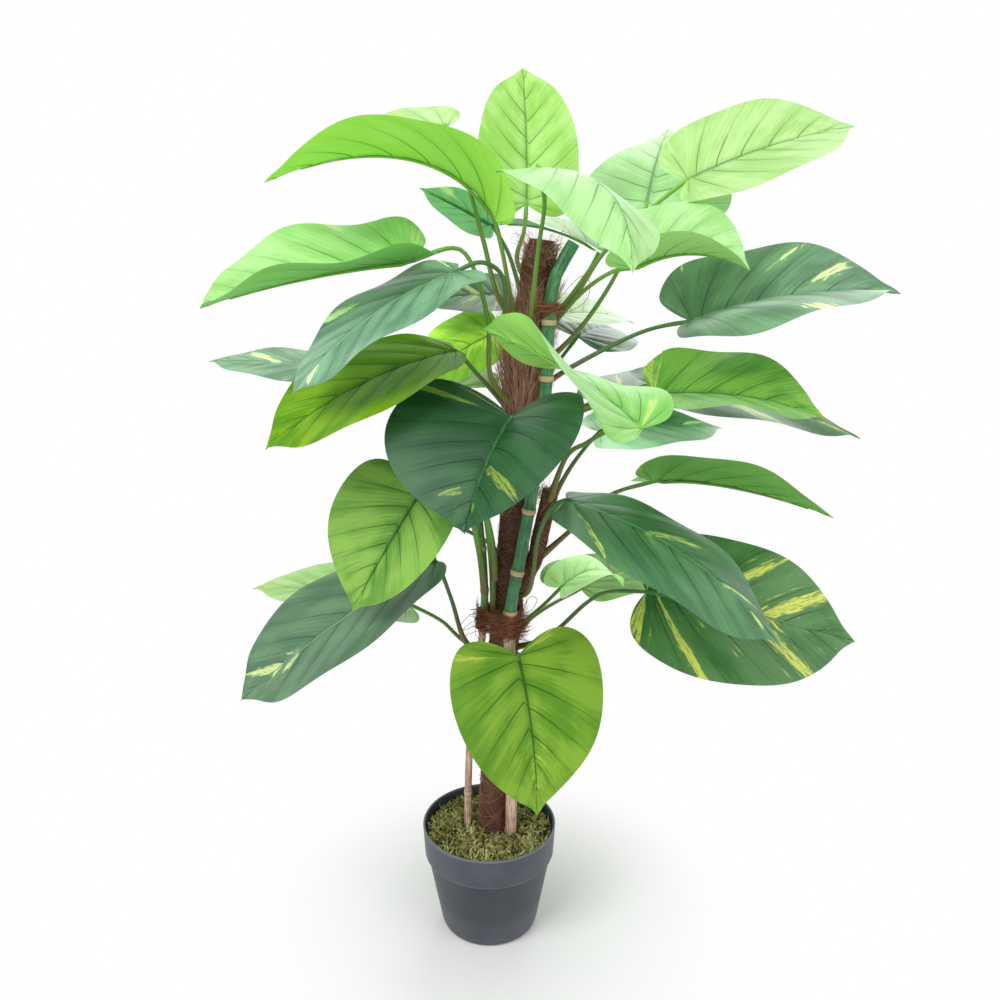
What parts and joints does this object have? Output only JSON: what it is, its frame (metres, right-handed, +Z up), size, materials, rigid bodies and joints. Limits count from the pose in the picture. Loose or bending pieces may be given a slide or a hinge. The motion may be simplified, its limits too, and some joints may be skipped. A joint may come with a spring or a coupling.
{
  "type": "potted pothos",
  "caption": "Climbing pothos with heart-shaped variegated leaves on canes tied to a leaning coir pole, in a round tapered nursery pot filled with potting mix and moss.",
  "frame": {"origin": "centre of the pot's flat underside, on the surface that it stands on", "axes": "+Z up from the pot to the crown leaf; the fullest side of the foliage faces -Y; the pole leans towards +X"},
  "size_m": [0.8902, 0.6616, 1.2102],
  "materials": {
    "pot_plastic": "satin",
    "potting_mix": "matte",
    "moss": "matte",
    "core_plastic": "matte",
    "coir": "matte",
    "coir_branch": "matte",
    "cane": "gloss",
    "tie_fibre": "matte",
    "light_leaf": "satin",
    "olive_leaf": "satin",
    "dark_leaf": "satin"
  },
  "bodies": {
    "root": {"pot": "pot_plastic", "potting_mix": "potting_mix", "moss": "moss", "pole_core": "core_plastic", "coir_sleeve": "coir", "front_cane": "cane", "left_cane": "cane", "right_branch": "coir_branch", "lower_tie": "tie_fibre", "upper_tie": "tie_fibre", "leaf_crown": "light_leaf", "leaf_top_left_long": "light_leaf", "leaf_top_left_behind": "light_leaf", "leaf_top_left_small": "dark_leaf", "leaf_top_centre_back": "light_leaf", "leaf_top_front": "light_leaf", "leaf_top_right_low": "light_leaf", "leaf_top_right_back": "light_leaf", "leaf_top_right_high": "light_leaf", "leaf_left_high": "light_leaf", "leaf_left_striped": "dark_leaf", "leaf_left_olive": "olive_leaf", "leaf_left_far": "dark_leaf", "leaf_right_dark": "dark_leaf", "leaf_right_olive": "olive_leaf", "leaf_front_bright": "light_leaf", "leaf_right_slim": "olive_leaf", "leaf_right_drooping": "dark_leaf", "leaf_right_marbled": "dark_leaf", "leaf_right_small": "light_leaf", "leaf_right_back_short": "dark_leaf", "leaf_right_back_long": "dark_leaf", "leaf_front_dark": "dark_leaf", "leaf_front_left_olive": "olive_leaf", "leaf_low_left_dark": "dark_leaf", "leaf_low_left_light": "light_leaf", "leaf_front_heart": "olive_leaf", "leaf_inner_left_olive": "olive_leaf", "leaf_inner_left_dark": "dark_leaf", "leaf_inner_right_light": "light_leaf", "leaf_inner_right_dark": "dark_leaf", "leaf_back_middle": "dark_leaf", "leaf_back_low": "olive_leaf", "leaf_back_left_high": "olive_leaf", "leaf_back_right_middle": "dark_leaf", "leaf_back_right_low": "olive_leaf", "leaf_back_left_low": "dark_leaf"}
  },
  "joints": []
}
